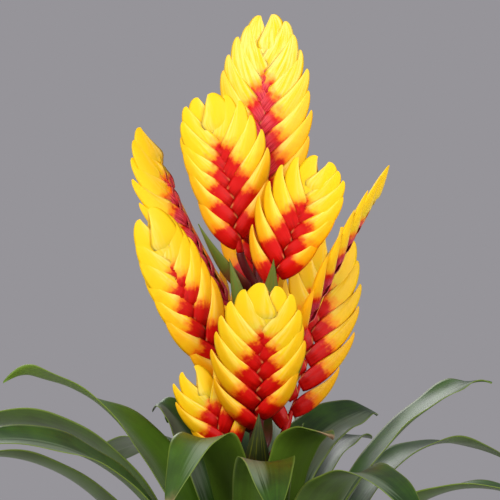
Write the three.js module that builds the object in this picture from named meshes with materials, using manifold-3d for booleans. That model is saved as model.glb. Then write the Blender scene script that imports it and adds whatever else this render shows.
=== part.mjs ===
// A flaming sword bromeliad in its pot. Millimetres, +Z up, origin at the centre of the pot's underside.
// The plant is a rosette of strap leaves nested round one upright flower stem. The stem carries flat,
// two-ranked spikes of overlapping boat-shaped bracts. The viewer's side is -Y.

import * as THREE from 'three';
import Module from 'manifold-3d';

const wasm = await Module();
wasm.setup();

const V3 = THREE.Vector3;
const DEG = Math.PI / 180;
const UP = new V3(0, 0, 1);
const FRONT = new V3(0, -1, 0);
const CLEAR = 0.3;                 // gap between neighbours that rest on or in each other

// ---------------------------------------------------------------- driving dimensions

const POT = {
  rimRadius: 60, wallRadius: 56.5, footRadius: 43, height: 105, band: 13, wall: 2, floor: 2.5,
  edge: 1, sides: 26,
};
const SOIL = { top: 94, crown: 1.5, crownRadius: 36.5, holeRadius: 27.5, holeFloor: 78, slope: 6, sides: 20 };
const STEM = { footRadius: 6.2, topRadius: 2.6, top: 349.6, lean: 1.7, sides: 8, rings: 7 };

const LEAF = {
  firstAzimuth: 200, goldenAngle: 137.5, levels: 7, levelStep: 1.75, innerRadius: 8.2,
  halfThickness: 0.45, channel: 40, wrap: 1.3, tipWidth: 3, across: 4, along: 8,
};

// Leaves from the outermost (lowest) to the innermost. knee and crest are the middle handles of the
// leaf's arch, tip is where it ends, each as [distance from the stem, height]. width is across the blade and
// sway is how far the tip swings to the side. bank is how far the blade rolls by half its length and twist
// how much further its tip turns, in degrees. neck is [first, last, share]: between those places along the
// leaf the blade narrows to that share. hook is how far the last tenth drops.
const LEAVES = [
  { knee: [42, 166], crest: [96, 276], tip: [200, 230], width: 36, sway: 6, twist: 8 },
  { knee: [43, 170], crest: [92, 264], tip: [186, 206], width: 36, sway: -10, twist: -6 },
  { knee: [42, 172], crest: [88, 268], tip: [184, 220], width: 37, sway: 8, twist: 5 },
  { knee: [41, 172], crest: [84, 250], tip: [160, 180], width: 36, sway: -6, twist: 0 },
  { knee: [39, 178], crest: [82, 274], tip: [178, 226], width: 37, sway: 10, twist: -8 },
  { knee: [36, 178], crest: [72, 288], tip: [188, 244], width: 36, sway: 4, twist: 0, bank: 25 },
  { knee: [34, 184], crest: [70, 276], tip: [158, 214], width: 37, sway: -8, twist: 6 },
  { knee: [33, 186], crest: [70, 288], tip: [172, 240], width: 37, sway: 8, twist: -6 },
  { knee: [33, 184], crest: [88, 270], tip: [196, 250], width: 36, sway: -8, twist: 10, bank: -30 },
  { knee: [16, 212], crest: [104, 287], tip: [130, 277], width: 34, sway: 0, twist: 5, bank: 10,
    neck: [0.8, 0.9, 0.2] },
  { knee: [27, 190], crest: [58, 274], tip: [140, 226], width: 36, sway: -8, twist: 8 },
  { knee: [26, 196], crest: [52, 284], tip: [122, 214], width: 35, sway: 5, twist: 0 },
  { knee: [13, 186], crest: [50, 256], tip: [90, 242], width: 34, sway: 0, twist: 0, turn: -8 },
  { knee: [12, 224], crest: [80, 277], tip: [138, 288], width: 35, sway: 0, twist: 130, bank: -70,
    neck: [0.6, 0.8, 0.6], hook: 10 },
  { knee: [17, 204], crest: [34, 268], tip: [75, 250], width: 33, sway: 0, twist: -14, turn: -22 },
  { knee: [18, 204], crest: [44, 282], tip: [98, 250], width: 33, sway: 5, twist: 6, turn: 16 },
  { knee: [13, 208], crest: [40, 304], tip: [92, 214], width: 34, sway: 0, twist: 0 },
  { knee: [10, 246], crest: [46, 252], tip: [110, 260], width: 34, sway: 0, twist: 10, bank: 20,
    turn: 32, hook: 6 },
  { knee: [10, 222], crest: [42, 268], tip: [59, 265], width: 30, sway: 0, twist: 60, bank: -60,
    turn: 10, hook: 5 },
];

// bend is the turn of a bract's centre line, bare the stretch of rachis below the first bract, crowding how
// much closer the bracts stand at the top. shoulder is how full the keel's outline is. The next five are
// shares that a bract keeps of its length at the foot, its width at the foot, its depth at the top, the
// topmost one's depth, and its bluntness at the top. rootWidth and rootDepth are shares that the topmost one
// keeps at its root, where its neighbours hold it.
const BRACT = {
  bend: 34, bare: 4.5, crowding: 0.35, stations: [0, 0.33, 0.7, 0.985], rachisRadius: 2.1, rachisSides: 5,
  shoulder: 0.6, footLength: 0.88, footWidth: 0.66, topDepth: 0.55, lastDepth: 0.72, topBluntness: 0.65,
  rootWidth: 0.4, rootDepth: 0.3,
};

// Flower spikes. base and tip end the spike's axis, bow moves its middle. roll turns the flat face about the
// axis, 0 being square to the front. count bracts in two ranks, the longest of length mm and half as wide as
// halfWidth says, spread degrees from the axis at the bottom. skew adds to the spread of the left rank and
// takes it from the right. crown is the share of the axis above the root of the last bract. flare widens the
// topmost bracts and hollow is how much the margins' outline draws in towards the tip. fold turns the right
// rank further from the front than the left, so that it stands edge-on.
const SPIKES = [
  { name: 'spike_top', base: [1.7, 2, 350.2], tip: [8.3, 4, 480.3], bow: [-1.5, 0, 0], roll: 0,
    count: 18, length: 47.5, halfWidth: 8.6, depth: 4.2, spread: 34, skew: -3, crown: 0.24, flare: 0.1,
    hollow: 1.4 },
  { name: 'spike_upper_left', base: [-8.2, -10, 348.6], tip: [-28.1, -28, 434.4], bow: [2, 0, 0],
    roll: 0, count: 14, length: 42, halfWidth: 8.4, depth: 4, spread: 33, skew: -4, crown: 0.33,
    flare: 0.2, hollow: 1.2 },
  { name: 'spike_leaning_right', base: [9.2, -20, 327.9], tip: [38.9, -44, 397.7], bow: [-1, 0, 0],
    roll: 8, count: 12, length: 40, halfWidth: 7.8, depth: 4, spread: 32, skew: 10, crown: 0.34,
    flare: 0.2, hollow: 1.7 },
  { name: 'spike_far_left', base: [-9.3, 3, 310.3], tip: [-61.4, 14, 418], bow: [-3, 0, 0], roll: -34,
    fold: 56, count: 15, length: 41, halfWidth: 8.2, depth: 4, spread: 26, skew: 11, crown: 0.27,
    flare: 0, hollow: 1.8 },
  { name: 'spike_middle_left', base: [-10.5, -8, 274.6], tip: [-56.6, -52, 369.9], bow: [-4, 0, 0],
    roll: -20, count: 14, length: 41, halfWidth: 8.4, depth: 4, spread: 25, skew: -8, crown: 0.3,
    flare: 0.2, hollow: 1.5 },
  { name: 'spike_front', base: [1.1, -16, 250.6], tip: [5.7, -62, 332.3], bow: [0, 0, 0], roll: 0,
    count: 13, length: 43, halfWidth: 8.8, depth: 4.2, spread: 35, skew: 5, crown: 0.33, flare: 0.2,
    hollow: 1.3 },
  { name: 'spike_right_edge', base: [22.2, -18, 298], tip: [73.6, -34, 395.3], bow: [-1, 0, 0],
    roll: -68, fold: 34, count: 13, length: 38, halfWidth: 5.2, depth: 3.6, spread: 18, skew: 11,
    crown: 0.28, flare: 0, hollow: 1.7 },
  { name: 'spike_right', base: [16, 8, 247.9], tip: [44.7, 24, 363.6], bow: [3, 0, 0], roll: 0,
    count: 14, length: 43, halfWidth: 7.2, depth: 4, spread: 33, skew: 6, crown: 0.3, flare: 0,
    hollow: 1.9 },
  { name: 'spike_lower_left', base: [-9.3, -8, 231.4], tip: [-33.2, -29, 286.6], bow: [-1, 0, 0],
    roll: -6, count: 8, length: 39, halfWidth: 6.4, depth: 3.4, spread: 28, skew: -7, crown: 0.42,
    flare: 0, hollow: 2 },
  { name: 'spike_back_upper', base: [-2, 16, 324], tip: [4, 52, 392], bow: [0, 3, 0], roll: 180,
    count: 10, length: 40, halfWidth: 8, depth: 4, spread: 33, skew: 0, crown: 0.34, flare: 0.1,
    hollow: 1.4 },
  { name: 'spike_back_left', base: [-12, 12, 282], tip: [-46, 50, 352], bow: [0, 3, 0], roll: 150,
    count: 10, length: 40, halfWidth: 8, depth: 4, spread: 33, skew: 0, crown: 0.34, flare: 0.1,
    hollow: 1.4 },
  { name: 'spike_back_right', base: [4, 18, 262], tip: [18, 62, 338], bow: [0, 3, 0], roll: 190,
    count: 10, length: 40, halfWidth: 8, depth: 4, spread: 33, skew: 0, crown: 0.34, flare: 0.1,
    hollow: 1.4 },
];

// Side stalks: below is how far under its spike's foot a stalk leaves the stem, with rise more for each
// millimetre that the foot stands out, and turn where along the way it bends up.
const STALK = { below: 6, rise: 0.9, turn: 0.5, rootRadius: 2.4, topRadius: 2.3, sides: 5, rings: 3 };

// Primary bracts stand under the spikes' stalks. Each is a pointed blade from the stem through a middle
// handle to its tip, and cup is how far its edges fold back, as a share of its half-width.
const SHIELD = { halfThickness: 0.5, cup: 0.22, stations: [0, 0.35, 0.7, 1] };
const SHIELDS = [
  { root: [0, -2, 218], middle: [1, -27, 228], tip: [2, -31, 262], width: 16 },
  { root: [2, -2, 300], middle: [8, -26, 312], tip: [10, -33, 345], width: 14 },
  { root: [-2, -1, 328], middle: [-14, -8, 330], tip: [-31, -14, 364], width: 10 },
  { root: [-1, -2, 298], middle: [-8, -13, 318], tip: [-14, -12, 345], width: 10 },
  { root: [-1, -1, 250], middle: [-16, -4, 256], tip: [-25, -8, 282], width: 12 },
  { root: [3, -2, 266], middle: [17, -13, 270], tip: [27, -21, 292], width: 10 },
  { root: [3, 1, 228], middle: [16, 5, 230], tip: [27, 10, 254], width: 12 },
  { root: [-1, -1, 206], middle: [-13, -5, 208], tip: [-22, -10, 226], width: 12 },
  { root: [-1, 2, 304], middle: [-3, 22, 306], tip: [-3, 31, 334], width: 12 },
  { root: [-2, 2, 260], middle: [-16, 16, 262], tip: [-24, 25, 290], width: 12 },
  { root: [1, 2, 240], middle: [5, 26, 242], tip: [7, 34, 272], width: 12 },
];

// ---------------------------------------------------------------- lofted solids

const at = (a, b, t) => a + (b - a) * t;

/** 0 below low, 1 above high and a smooth step between. */
const smooth = (low, high, x) => THREE.MathUtils.smoothstep(x, low, high);

/** Rings of equal length, listed from start to end, closed into one indexed solid. The first half of a ring
 *  is its upper face and the second half its lower face, so both are split along the same diagonals. */
function loft(rings) {
  const m = rings[0].length;
  const points = rings.flat();
  const faces = [];
  for (let r = 0; r + 1 < rings.length; r += 1) {
    for (let i = 0; i < m; i += 1) {
      const [a, b] = [r * m + i, r * m + (i + 1) % m];
      const [c, d] = [a + m, b + m];
      if (i < m / 2) faces.push([a, b, d], [a, d, c]);
      else faces.push([a, b, c], [b, d, c]);
    }
  }
  const cap = (first, flip) => {
    for (let i = 0, j = m - 1; i + 1 < j; i += 1, j -= 1) {
      const near = [first + i, first + j, first + i + 1];
      const far = [first + i + 1, first + j, first + j - 1];
      for (const [a, b, c] of i + 2 < j ? [near, far] : [near]) {
        faces.push(flip ? [a, c, b] : [a, b, c]);
      }
    }
  };
  cap(0, false);
  cap((rings.length - 1) * m, true);
  return { points, faces };
}

function toManifold({ points, faces }) {
  const vertProperties = new Float32Array(points.flatMap((p) => [p.x, p.y, p.z]));
  const build = (list) => new wasm.Manifold(
    new wasm.Mesh({ numProp: 3, vertProperties, triVerts: new Uint32Array(list.flat()) }));
  const solid = build(faces);
  return solid.volume() > 0 ? solid : build(faces.map(([a, b, c]) => [a, c, b]));
}

function toGeometry(solid) {
  const mesh = solid.getMesh();
  const geometry = new THREE.BufferGeometry();
  geometry.setAttribute('position', new THREE.BufferAttribute(new Float32Array(mesh.vertProperties), 3));
  geometry.setIndex(new THREE.BufferAttribute(new Uint32Array(mesh.triVerts), 1));
  geometry.computeVertexNormals();
  return geometry;
}

/** A round rod along a curve, its radius running from r0 to r1. */
function rod(curve, r0, r1, sides, count) {
  const rings = [];
  for (let k = 0; k <= count; k += 1) {
    const t = k / count;
    const along = curve.getTangent(t);
    const side = new V3().crossVectors(along, FRONT).normalize();
    const face = new V3().crossVectors(side, along).normalize();
    const radius = at(r0, r1, t);
    rings.push(Array.from({ length: sides }, (_, i) => {
      const turn = (2 * Math.PI * (i + 0.5)) / sides;
      return curve.getPoint(t)
        .addScaledVector(side, radius * Math.cos(turn))
        .addScaledVector(face, radius * Math.sin(turn));
    }));
  }
  return toManifold(loft(rings));
}

// ---------------------------------------------------------------- leaves

/** A leaf is a channelled strip on an arch, t from 0 at its foot to 1 at its tip. Its cross-section is an
 *  arc of radius rho, which equals the distance from the stem near the base, so the sheath wraps the stem,
 *  and settles at LEAF.channel. The blade's width is leaf.width (1 - 0.4 (1 - t)^4) (1 - t^6)^0.8, and less
 *  past its neck. */
function leafSolid(leaf, index) {
  const azimuth = (LEAF.firstAzimuth + index * LEAF.goldenAngle + (leaf.turn ?? 0)) * DEG;
  const outward = new V3(Math.cos(azimuth), Math.sin(azimuth), 0);
  const side = new V3(-Math.sin(azimuth), Math.cos(azimuth), 0);
  const level = LEAF.levels - 1 - Math.floor(index / 3);
  const footRadius = LEAF.innerRadius + level * LEAF.levelStep;
  const place = ([r, z]) => new V3(r, z, 0);
  const arch = new THREE.CubicBezierCurve3(
    place([footRadius, SOIL.holeFloor + CLEAR]), place(leaf.knee), place(leaf.crest), place(leaf.tip));
  const rings = [];
  for (let k = 0; k <= LEAF.along; k += 1) {
    const t = k / LEAF.along;
    const { x: radius, y: archHeight } = arch.getPoint(t);
    const height = archHeight - (leaf.hook ?? 0) * Math.max((t - 0.9) / 0.1, 0) ** 2;
    const slope = arch.getTangent(t);
    const centre = outward.clone().multiplyScalar(radius).addScaledVector(UP, height)
      .addScaledVector(side, leaf.sway * t * t);
    const along = outward.clone().multiplyScalar(slope.x).addScaledVector(UP, slope.y);
    const turn = ((leaf.bank ?? 0) * smooth(0.05, 0.5, t) + leaf.twist * t * t) * DEG;
    const across = side.clone().applyAxisAngle(along, turn);
    const normal = outward.clone().multiplyScalar(-slope.y).addScaledVector(UP, slope.x)
      .applyAxisAngle(along, turn);
    const [first, last, share] = leaf.neck ?? [0, 1, 1];
    const blade = leaf.width * (1 - 0.4 * (1 - t) ** 4) * Math.max(1 - t ** 6, 0) ** 0.8
      * at(1, share, smooth(first, last, t));
    const width = Math.max(blade * Math.tanh((LEAF.wrap * radius) / Math.max(blade, 1)), LEAF.tipWidth);
    const rho = LEAF.channel * Math.tanh(radius / LEAF.channel);
    const edge = (j, lift) => {
      const angle = (width * (j / (LEAF.across - 1) - 0.5)) / rho;
      return centre.clone()
        .addScaledVector(across, (rho - lift) * Math.sin(angle))
        .addScaledVector(normal, rho - (rho - lift) * Math.cos(angle));
    };
    const columns = [...Array(LEAF.across).keys()];
    rings.push([
      ...columns.map((j) => edge(j, LEAF.halfThickness)),
      ...columns.reverse().map((j) => edge(j, -LEAF.halfThickness)),
    ]);
  }
  return toManifold(loft(rings));
}

// ---------------------------------------------------------------- flower spikes

/** The spike's axis and, at a share t of it, its three directions: along, right rank and front face. They
 *  are turned about the axis by the roll less the fold. */
function spikeAxis({ base, tip, bow, roll }) {
  const [a, c] = [new V3(...base), new V3(...tip)];
  const b = a.clone().add(c).multiplyScalar(0.5).add(new V3(...bow).multiplyScalar(2));
  const curve = new THREE.QuadraticBezierCurve3(a, b, c);
  const frame = (t, fold = 0) => {
    const along = curve.getTangent(t);
    const right = new V3().crossVectors(along, FRONT).normalize().applyAxisAngle(along, (fold - roll) * DEG);
    const face = new V3().crossVectors(right, along).normalize();
    return { along, right, face };
  };
  return { curve, frame, length: curve.getLength() };
}

/** One folded, boat-shaped bract as rings of three points: the keel and the front and back margins.
 *  Its centre line is an arc that starts wide of the spike's axis and bends up towards it. With s from 0 at
 *  its root to 1 at its tip, its outline is sin(pi (0.2 + 0.8 s^0.75)) to the power blunt, raised again to
 *  shoulder for the keel and to hollow for the margins. Its half-depth fills out quickly behind the root and
 *  is closed at the tip by (1 - s^3). */
function bractRings(origin, { along, right, face }, bract) {
  const { angle, hand, length, halfWidth, depth, blunt, hollow, last } = bract;
  const bend = BRACT.bend * DEG;
  const start = angle * DEG + bend / 2;
  return BRACT.stations.map((s) => {
    const turn = start - bend * s;
    const rise = (length * (Math.sin(start) - Math.sin(turn))) / bend;
    const out = (length * (Math.cos(turn) - Math.cos(start))) / bend;
    const rising = last ? smooth(0, 0.4, s) : 1;
    const outline = Math.sin(Math.PI * (0.2 + 0.8 * s ** 0.75)) ** blunt;
    const half = halfWidth * at(BRACT.rootWidth, 1, rising);
    const keel = half * outline ** BRACT.shoulder;
    const margin = half * outline ** hollow;
    const thick = depth * (0.3 + 0.65 * smooth(0, 0.14, s) + 0.3 * s) * (1 - s ** 3)
      * at(BRACT.rootDepth, 1, rising);
    const point = (keelward, lift) => origin.clone()
      .addScaledVector(along, rise - keelward * Math.sin(turn))
      .addScaledVector(right, hand * (out + keelward * Math.cos(turn)))
      .addScaledVector(face, lift * thick);
    return [point(keel, 0), point(-margin, 0.9), point(-margin, -0.9)];
  });
}

function spikeSolid(spike) {
  const { curve, frame, length: axisLength } = spikeAxis(spike);
  const pieces = [];
  for (let k = 0; k < spike.count; k += 1) {
    const q = k / (spike.count - 1);
    const t = at(BRACT.bare / axisLength, 1 - spike.crown, q + BRACT.crowding * q * (1 - q));
    const hand = k % 2 ? 1 : -1;
    const last = k === spike.count - 1;
    const fold = hand > 0 ? spike.fold ?? 0 : 0;
    const fullLength = at(spike.length, axisLength * spike.crown, q ** 3);
    pieces.push(toManifold(loft(bractRings(curve.getPoint(t), frame(t, fold), {
      hand,
      last,
      hollow: spike.hollow,
      angle: at(spike.spread, 3, q ** 3) - hand * spike.skew * (1 - q),
      length: fullLength * (k < 2 ? BRACT.footLength : 1),
      halfWidth: spike.halfWidth * at(BRACT.footWidth, 1, q) * (1 + spike.flare * smooth(0.8, 1, q)),
      depth: spike.depth * (last ? BRACT.lastDepth : at(1, BRACT.topDepth, q)),
      blunt: at(1, BRACT.topBluntness, q),
    }))));
  }
  const rachis = new THREE.QuadraticBezierCurve3(
    curve.v0, curve.v0.clone().lerp(curve.v1, 1 - spike.crown), curve.getPoint(1 - spike.crown));
  pieces.push(rod(rachis, BRACT.rachisRadius, BRACT.rachisRadius / 2, BRACT.rachisSides, 2));
  return wasm.Manifold.union(pieces);
}

// ---------------------------------------------------------------- flower stem

const stemAxis = new THREE.QuadraticBezierCurve3(
  new V3(0, 0, SOIL.holeFloor + CLEAR), new V3(0, 0, 200), new V3(STEM.lean, 1.5, STEM.top - CLEAR));

/** A side stalk leaves the stem below its spike and meets the spike's foot square on, CLEAR short of it. */
function stalk(spike) {
  const { curve, frame } = spikeAxis(spike);
  const { along } = frame(0);
  const foot = curve.getPoint(0).addScaledVector(along, -CLEAR);
  const reach = Math.hypot(foot.x, foot.y);
  const root = new V3(0, 0, foot.z - STALK.rise * reach - STALK.below);
  const turn = foot.clone().addScaledVector(along, -STALK.turn * reach);
  const path = new THREE.QuadraticBezierCurve3(root, turn, foot);
  return rod(path, STALK.rootRadius, STALK.topRadius, STALK.sides, STALK.rings);
}

/** A primary bract: a strip cupped towards the stem, widest at a third of its length. Its face looks out
 *  from the stem, and more to the front or back than its own direction does, as its spike's face does. */
function shield({ root, middle, tip, width }) {
  const curve = new THREE.QuadraticBezierCurve3(new V3(...root), new V3(...middle), new V3(...tip));
  const outward = new V3(middle[0], 2 * middle[1], 0).normalize();
  const rings = SHIELD.stations.map((t) => {
    const along = curve.getTangent(t);
    const across = new V3().crossVectors(along, outward).normalize();
    const normal = new V3().crossVectors(across, along).normalize();
    const half = (width / 2) * Math.sin(Math.PI * (0.2 + 0.76 * t ** 0.9));
    const point = (side, lift) => curve.getPoint(t).addScaledVector(across, side * half)
      .addScaledVector(normal, lift * SHIELD.halfThickness - side * side * SHIELD.cup * half);
    return [point(-1, 1), point(0, 1), point(1, 1), point(1, -1), point(0, -1), point(-1, -1)];
  });
  return toManifold(loft(rings));
}

function stemSolid() {
  const axis = rod(stemAxis, STEM.footRadius, STEM.topRadius, STEM.sides, STEM.rings);
  return wasm.Manifold.union([axis, ...SPIKES.slice(1).map(stalk), ...SHIELDS.map(shield)]);
}

// ---------------------------------------------------------------- pot and soil

const lathe = (profile, sides) => {
  const shape = new THREE.LatheGeometry(profile.map(([r, z]) => new THREE.Vector2(r, z)), sides);
  return shape.rotateX(Math.PI / 2);
};

const bandFoot = POT.height - POT.band;
const wallTop = { radius: POT.wallRadius - POT.wall, z: bandFoot + POT.edge };
const wallFoot = { radius: POT.footRadius + POT.edge - POT.wall, z: POT.floor };

function potGeometry() {
  const p = POT;
  return lathe([
    [0, 0], [p.footRadius, 0], [p.footRadius + p.edge, 1.5 * p.edge], [p.wallRadius - p.edge, bandFoot],
    [p.rimRadius - p.edge / 2, bandFoot + p.edge], [p.rimRadius, p.height - p.edge],
    [p.rimRadius - p.edge, p.height], [p.rimRadius - p.wall, p.height], [wallTop.radius, wallTop.z],
    [wallFoot.radius, wallFoot.z], [0, p.floor],
  ], p.sides);
}

function soilGeometry() {
  const s = SOIL;
  const low = POT.floor + CLEAR;
  const climb = (z) => (z - wallFoot.z) / (wallTop.z - wallFoot.z);
  const edge = (z) => at(wallFoot.radius, wallTop.radius, climb(z)) - 2 * CLEAR;
  return lathe([
    [0, low], [edge(low), low], [edge(bandFoot), bandFoot], [edge(bandFoot), s.top - POT.edge],
    [edge(bandFoot) - s.slope, s.top], [s.crownRadius, s.top + s.crown], [s.holeRadius, s.top],
    [s.holeRadius, s.holeFloor], [0, s.holeFloor],
  ], s.sides);
}

// ---------------------------------------------------------------- assembly

const plain = (color, roughness) => new THREE.MeshStandardMaterial({ color, roughness, metalness: 0 });
const FINISH = {
  pot: plain(0x3a3d3a, 0.55), soil: plain(0x2e2018, 0.95), stem: plain(0x6a0f1a, 0.5),
  leaf: plain(0x2f5414, 0.45), spike: plain(0xf6c400, 0.35),
};

const plant = new THREE.Group();
const add = (name, geometry, material) => {
  const mesh = new THREE.Mesh(geometry, material);
  mesh.name = name;
  plant.add(mesh);
};

/** A turned shape as a closed solid: points that lie together are merged and empty faces dropped. */
const closed = (geometry) => {
  const position = geometry.getAttribute('position');
  const key = (i) => new V3().fromBufferAttribute(position, i).multiplyScalar(1e4).round().toArray().join();
  const seen = new Map();
  const points = [];
  const merged = Array.from({ length: position.count }, (_, i) => {
    if (!seen.has(key(i))) {
      seen.set(key(i), points.length);
      points.push(new V3().fromBufferAttribute(position, i));
    }
    return seen.get(key(i));
  });
  const index = geometry.getIndex().array;
  const faces = [];
  for (let f = 0; f < index.length; f += 3) {
    const face = [merged[index[f]], merged[index[f + 1]], merged[index[f + 2]]];
    if (new Set(face).size === 3) faces.push(face);
  }
  return toGeometry(toManifold({ points, faces }));
};

add('pot', closed(potGeometry()), FINISH.pot);
add('soil', closed(soilGeometry()), FINISH.soil);
add('flower_stem', toGeometry(stemSolid()), FINISH.stem);
LEAVES.forEach((leaf, k) => {
  add(`leaf_${String(k + 1).padStart(2, '0')}`, toGeometry(leafSolid(leaf, k)), FINISH.leaf);
});
SPIKES.forEach((spike) => add(spike.name, toGeometry(spikeSolid(spike)), FINISH.spike));

export default plant;
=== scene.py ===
# %% [markdown]
# A flaming sword bromeliad in its pot: a rosette of strap leaves round one flower stem, which carries flat
# spikes of boat-shaped bracts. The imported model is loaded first, as a fixed frame. Every node of it is then
# given a finer skin that follows the same rule as its solid, so each skin stays exactly where its solid is.

# %% The frame
import math

import bpy
import numpy as np
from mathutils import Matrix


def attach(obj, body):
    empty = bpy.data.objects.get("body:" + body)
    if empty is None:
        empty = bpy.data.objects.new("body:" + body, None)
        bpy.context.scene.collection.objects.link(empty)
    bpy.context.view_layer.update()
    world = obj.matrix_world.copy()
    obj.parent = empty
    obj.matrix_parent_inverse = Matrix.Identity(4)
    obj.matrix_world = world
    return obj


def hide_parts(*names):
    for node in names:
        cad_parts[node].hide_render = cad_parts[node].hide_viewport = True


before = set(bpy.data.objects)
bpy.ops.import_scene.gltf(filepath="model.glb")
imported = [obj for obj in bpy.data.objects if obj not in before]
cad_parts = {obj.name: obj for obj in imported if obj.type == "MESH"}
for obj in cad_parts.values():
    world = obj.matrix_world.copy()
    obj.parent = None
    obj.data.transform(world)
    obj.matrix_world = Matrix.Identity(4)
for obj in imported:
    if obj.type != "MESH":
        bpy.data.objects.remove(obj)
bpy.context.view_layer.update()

MM = 0.001
FRONT = np.array([0.0, -1.0, 0.0])
UP = np.array([0.0, 0.0, 1.0])
chance = np.random.default_rng(11)


# %% [markdown]
# Everything here is a tube: a row of closed rings carried along a line. A bract is a tube with a folded ring,
# a leaf is one with a long thin ring, and the pot is one whose rings are circles. Each could be modelled by
# hand from a box or a bent plane, but then nothing would hold it to its solid. Worked out from whole arrays,
# all of them can share one function that joins the rings and closes both ends.

# %% Small tools for arrays
TINY = 1e-4


def between(a, b, t):
    """The value a share t of the way from a to b."""
    return a + (b - a) * t


def unit(vectors):
    """Vectors of length 1 with the same directions."""
    return vectors / np.linalg.norm(vectors, axis=-1, keepdims=True)


def smooth(low, high, x):
    """0 below low, 1 above high, and 3 x^2 - 2 x^3 between them."""
    x = np.clip((x - low) / (high - low), 0, 1)
    return x * x * (3 - 2 * x)


def curve(handles, t):
    """Points of the Bezier curve of three or four handles at shares t: the handles are blended in pairs."""
    level = [np.asarray(h, float)[None, :] + 0 * t[:, None] for h in handles]
    while len(level) > 1:
        level = [between(a, b, t[:, None]) for a, b in zip(level, level[1:])]
    return level[0]


def heading(handles, t):
    """Unit directions of that curve, from points a tiny share before and after."""
    return unit(curve(handles, t + TINY) - curve(handles, t - TINY))


# %% From tubes to a mesh
def tube_faces(rows, columns):
    """Corners of a closed tube's quads, and of the triangles that join its end rings to two middle points."""
    row, column = np.meshgrid(np.arange(rows - 1), np.arange(columns), indexing="ij")
    here = row * columns + column
    beside = row * columns + (column + 1) % columns
    quads = np.stack([here, beside, beside + columns, here + columns], -1).reshape(-1, 4)
    first, last = np.arange(columns), (rows - 1) * columns
    after = (first + 1) % columns
    middle = np.full(columns, rows * columns)
    foot = np.stack([after, first, middle], -1)
    top = np.stack([last + first, last + after, middle + 1], -1)
    return quads, np.concatenate([foot, top])


def outward(rings):
    """True for each tube whose faces look out, from the sign of the volume that its quads enclose."""
    a = rings[:, :-1]
    b = np.roll(a, -1, axis=2)
    d = rings[:, 1:]
    c = np.roll(d, -1, axis=2)
    centre = rings.mean(axis=(1, 2), keepdims=True)
    side = np.cross(c - a, d - b) * ((a + b + c + d) / 4 - centre)
    return side.sum(axis=(1, 2, 3)) > 0


class Skin:
    """The points, faces and point values of one piece, gathered tube by tube."""

    def __init__(self):
        self.points, self.quads, self.triangles, self.values = [], [], [], {}
        self.count = 0

    def add(self, rings, **values):
        """Adds tubes. rings is (tubes, rows, columns, 3) in mm. Each value is spread over its first three."""
        rings = np.array(rings, float)
        tubes, rows, columns, _ = rings.shape
        flip = ~outward(rings)
        rings[flip] = rings[flip, :, ::-1]
        ends = rings[:, [0, -1]].mean(axis=2)
        self.points.append(np.concatenate([rings.reshape(tubes, -1, 3), ends], axis=1).reshape(-1, 3))
        size = rows * columns + 2
        start = self.count + size * np.arange(tubes)[:, None, None]
        quads, triangles = tube_faces(rows, columns)
        self.quads.append((quads + start).reshape(-1, 4))
        self.triangles.append((triangles + start).reshape(-1, 3))
        for name, value in values.items():
            spread = np.array(np.broadcast_to(value, (tubes, rows, columns)), float)
            spread[flip] = spread[flip, :, ::-1]
            closing = spread[:, [0, -1]].mean(axis=2)
            filled = np.concatenate([spread.reshape(tubes, -1), closing], axis=1).ravel()
            self.values.setdefault(name, []).append(filled)
        self.count += size * tubes

    def build(self, name, finish):
        """Makes the object, smooth shaded, riding on the root and standing for the node of its name."""
        points = np.concatenate(self.points) * MM
        quads, triangles = np.concatenate(self.quads), np.concatenate(self.triangles)
        corners = np.concatenate([quads.ravel(), triangles.ravel()])
        starts = [np.arange(len(quads)) * 4, len(quads) * 4 + np.arange(len(triangles)) * 3]
        mesh = bpy.data.meshes.new(name)
        mesh.vertices.add(len(points))
        mesh.vertices.foreach_set("co", points.ravel())
        mesh.loops.add(len(corners))
        mesh.loops.foreach_set("vertex_index", corners.astype(np.int32))
        mesh.polygons.add(len(quads) + len(triangles))
        mesh.polygons.foreach_set("loop_start", np.concatenate(starts).astype(np.int32))
        mesh.update(calc_edges=True)
        for key, parts in self.values.items():
            layer = mesh.attributes.new(key, "FLOAT", "POINT")
            layer.data.foreach_set("value", np.concatenate(parts).astype(np.float32))
        mesh.shade_smooth()
        mesh.materials.append(finish.material)
        made = bpy.data.objects.new(name + "_skin", mesh)
        bpy.context.scene.collection.objects.link(made)
        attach(made, "root")
        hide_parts(name)
        return made


# %% [markdown]
# A material is a net of nodes. It could be wired up by hand in the shader editor, but a sum is easier to read
# and to change, so a material is written as sums here. A Wire holds one socket of a material, and each
# operator on it adds the Math node that works it out. A Finish holds the material, and its node method adds
# any other node.

# %% Wires and finishes
class Wire:
    """One value or colour inside a material, which can be written into a sum."""

    def __init__(self, finish, socket):
        self.finish, self.socket = finish, socket

    def math(self, operation, first, second):
        return self.finish.node("Math", {"operation": operation}, {0: first, 1: second})

    def __add__(self, other):
        return self.math("ADD", self, other)

    def __radd__(self, other):
        return self.math("ADD", other, self)

    def __sub__(self, other):
        return self.math("SUBTRACT", self, other)

    def __rsub__(self, other):
        return self.math("SUBTRACT", other, self)

    def __mul__(self, other):
        return self.math("MULTIPLY", self, other)

    def __rmul__(self, other):
        return self.math("MULTIPLY", other, self)

    def __abs__(self):
        return self.math("ABSOLUTE", self, 0.0)


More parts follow.
